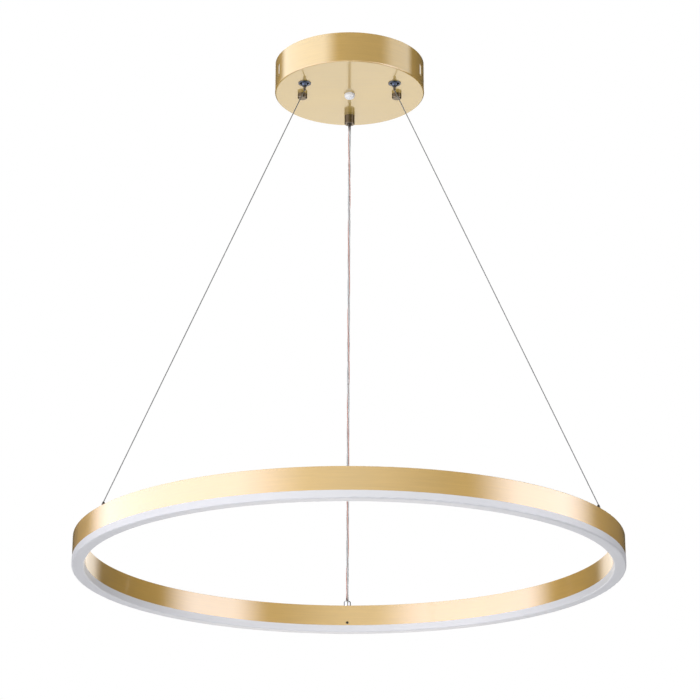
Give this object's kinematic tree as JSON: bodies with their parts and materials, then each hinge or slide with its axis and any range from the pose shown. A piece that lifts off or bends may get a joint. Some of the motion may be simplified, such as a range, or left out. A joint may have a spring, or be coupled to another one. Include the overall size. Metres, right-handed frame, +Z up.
{
  "type": "led ring chandelier",
  "caption": "Ring light with a slim channel and opal underside, hung by wires and a clear cable from a round ceiling canopy.",
  "frame": {"origin": "in the ceiling plane, midway between the two ceiling screw slots, on the axis of the canopy", "axes": "+Z up, out of the canopy's open top towards the ceiling; +Y away from the viewer, towards the clear cable; +X to the viewer's right"},
  "size_m": [0.6006, 0.6006, 0.6107],
  "materials": {
    "brushed_gold_steel": "satin brass-plated sheet, fine horizontal brushing",
    "brushed_gold_aluminium": "satin gold anodised, fine horizontal brushing",
    "zinc_steel": "bright zinc plated",
    "chrome_fitting": "polished nickel-chrome plating",
    "nickel_release": "polished nickel",
    "black_nickel": "black nickel plating",
    "ball_steel": "polished bearing steel",
    "spring_steel": "plain spring wire",
    "rope_steel": "stranded stainless rope",
    "ferrule_aluminium": "crimped, plain",
    "translucent_plastic": "milky translucent, moulded",
    "clear_pvc": "clear extruded sheath",
    "copper": "bare stranded copper",
    "tinned_copper": "tinned stranded copper",
    "opal_acrylic": "frosted opal",
    "black_screw": "blackened steel",
    "white_board": "white solder resist",
    "led_phosphor": "phosphor under clear resin",
    "gland_rubber": "grey, matt",
    "white_plastic": "fine moulded texture",
    "green_board": "green solder resist",
    "component_black": "moulded",
    "foam_tape": "closed-cell foam",
    "ivory_nylon": "moulded",
    "brass_screw": "plain",
    "brown_lead": "extruded insulation",
    "blue_lead": "extruded insulation",
    "earth_lead_insulation": "extruded insulation, green with a yellow stripe",
    "black_lead": "extruded insulation",
    "white_lead": "extruded insulation"
  },
  "bodies": {
    "canopy": {"canopy_cup": "brushed_gold_steel", "mounting_bracket": "zinc_steel", "bracket_studs": "zinc_steel", "stud_nuts": "zinc_steel", "cap_nuts": "chrome_fitting", "centre_plug": "translucent_plastic", "left_grip_body": "chrome_fitting", "right_grip_body": "chrome_fitting", "back_grip_body": "chrome_fitting", "left_grip_spring": "spring_steel", "right_grip_spring": "spring_steel", "back_grip_spring": "spring_steel", "front_grip_caps": "chrome_fitting", "back_grip_cap": "chrome_fitting", "front_grip_nuts": "zinc_steel", "back_grip_nut": "zinc_steel", "wire_tails": "rope_steel", "stop_ferrules": "ferrule_aluminium", "cable_tail": "clear_pvc", "left_wire": "rope_steel", "right_wire": "rope_steel", "cable_sheath": "clear_pvc", "copper_core": "copper", "tinned_core": "tinned_copper", "steel_core": "rope_steel", "driver_pad": "foam_tape", "driver_base": "white_plastic", "driver_cover": "white_plastic", "driver_board": "green_board", "driver_components": "component_black", "terminal_block": "ivory_nylon", "terminal_screws": "brass_screw", "line_lead": "brown_lead", "neutral_lead": "blue_lead", "earth_lead": "earth_lead_insulation", "earth_tag": "tinned_copper", "earth_screw": "zinc_steel", "output_leads": "black_lead"},
    "ring": {"ring_channel": "brushed_gold_aluminium", "diffuser": "opal_acrylic", "diffuser_screws": "black_screw", "led_boards": "white_board", "led_chips": "led_phosphor", "board_screws": "zinc_steel", "board_links": "tinned_copper", "wire_anchors": "black_nickel", "anchor_nuts": "zinc_steel", "wire_ends": "rope_steel", "ring_gland": "chrome_fitting", "gland_bush": "gland_rubber", "gland_nut": "zinc_steel", "cable_ring_end": "clear_pvc", "ring_leads": "white_lead"},
    "left_release": {"left_release": "nickel_release", "left_grip_balls": "ball_steel"},
    "right_release": {"right_release": "nickel_release", "right_grip_balls": "ball_steel"},
    "back_release": {"back_release": "nickel_release", "back_grip_balls": "ball_steel"}
  },
  "joints": [
    {"name": "ring_height", "type": "slide", "parent": "canopy", "child": "ring", "axis": [0, 0, 1], "range_m": [0, 0.3], "deforming": ["left_wire", "right_wire", "cable_sheath", "copper_core", "tinned_core", "steel_core"]},
    {"name": "left_release_push", "type": "slide", "parent": "canopy", "child": "left_release", "axis": [0, 0, 1], "range_m": [0, 0.002], "stiffness_N_per_m": 500, "springref_m": -0.002, "deforming": ["left_grip_spring"]},
    {"name": "right_release_push", "type": "slide", "parent": "canopy", "child": "right_release", "axis": [0, 0, 1], "range_m": [0, 0.002], "stiffness_N_per_m": 500, "springref_m": -0.002, "deforming": ["right_grip_spring"]},
    {"name": "back_release_push", "type": "slide", "parent": "canopy", "child": "back_release", "axis": [0, 0, 1], "range_m": [0, 0.0012], "stiffness_N_per_m": 500, "springref_m": -0.002, "deforming": ["back_grip_spring"]}
  ]
}
